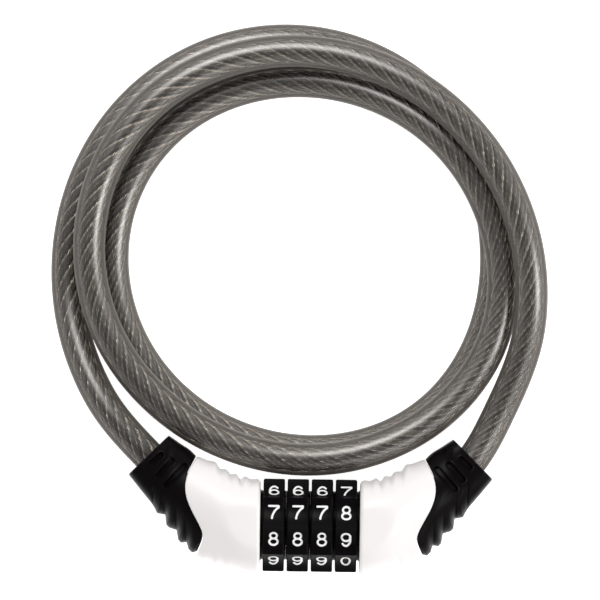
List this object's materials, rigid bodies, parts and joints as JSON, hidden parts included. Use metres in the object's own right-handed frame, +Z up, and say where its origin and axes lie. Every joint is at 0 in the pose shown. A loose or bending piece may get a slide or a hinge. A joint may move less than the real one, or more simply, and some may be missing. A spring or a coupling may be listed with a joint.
{
  "type": "combination cable lock",
  "caption": "Coiled steel cable in a smoke-coloured sleeve, both ends held in a lock head with number dials; the plug end pulls out when the dials show the code.",
  "frame": {"origin": "under the middle of the lock head, on the surface that the lock lies on", "axes": "+X along the lock head and its dials, from the fixed end to the plug; +Y from the head to the coil of cable; +Z up, out of the dials' faces"},
  "size_m": [0.1545, 0.1717, 0.031],
  "materials": {
    "white_plastic": "satin white ABS",
    "black_rubber": "satin black",
    "dial_plastic": "black, white digits",
    "die_cast": "as cast zinc alloy",
    "steel": "bright zinc plated",
    "brass": "machined",
    "smoke_sleeve": "clear smoke-coloured PVC",
    "steel_rope": "bare drawn wire"
  },
  "bodies": {
    "lock_base": {"left_boot": "black_rubber", "left_shell_front": "white_plastic", "left_shell_back": "white_plastic", "left_flange": "dial_plastic", "lock_body": "die_cast", "spindle": "steel", "retaining_ring": "steel", "left_ferrule": "steel", "left_ferrule_pin": "steel", "detent_spring_1": "steel", "detent_spring_2": "steel", "detent_spring_3": "steel", "detent_spring_4": "steel", "cable_sheath": "smoke_sleeve", "wire_rope": "steel_rope"},
    "dial_1_wheel": {"dial_1": "dial_plastic", "code_ring_1": "brass"},
    "dial_2_wheel": {"dial_2": "dial_plastic", "code_ring_2": "brass"},
    "dial_3_wheel": {"dial_3": "dial_plastic", "code_ring_3": "brass"},
    "dial_4_wheel": {"dial_4": "dial_plastic", "code_ring_4": "brass"},
    "plug": {"right_boot": "black_rubber", "right_shell_front": "white_plastic", "right_shell_back": "white_plastic", "right_flange": "dial_plastic", "plug_body": "die_cast", "locking_pin": "steel", "pin_cross_pin": "steel", "right_ferrule": "steel", "right_ferrule_pin": "steel"}
  },
  "joints": [
    {"name": "dial_1_turn", "type": "hinge", "parent": "lock_base", "child": "dial_1_wheel", "pos_m": [-0.01125, -0.006, 0.0155], "axis": [1, 0, 0], "continuous": true},
    {"name": "dial_2_turn", "type": "hinge", "parent": "lock_base", "child": "dial_2_wheel", "pos_m": [-0.00375, -0.006, 0.0155], "axis": [1, 0, 0], "continuous": true},
    {"name": "dial_3_turn", "type": "hinge", "parent": "lock_base", "child": "dial_3_wheel", "pos_m": [0.00375, -0.006, 0.0155], "axis": [1, 0, 0], "continuous": true},
    {"name": "dial_4_turn", "type": "hinge", "parent": "lock_base", "child": "dial_4_wheel", "pos_m": [0.01125, -0.006, 0.0155], "axis": [1, 0, 0], "continuous": true},
    {"name": "plug_pull", "type": "slide", "parent": "lock_base", "child": "plug", "axis": [1, 0, 0], "range_m": [0, 0.04], "deforming": ["cable_sheath", "wire_rope"]}
  ]
}
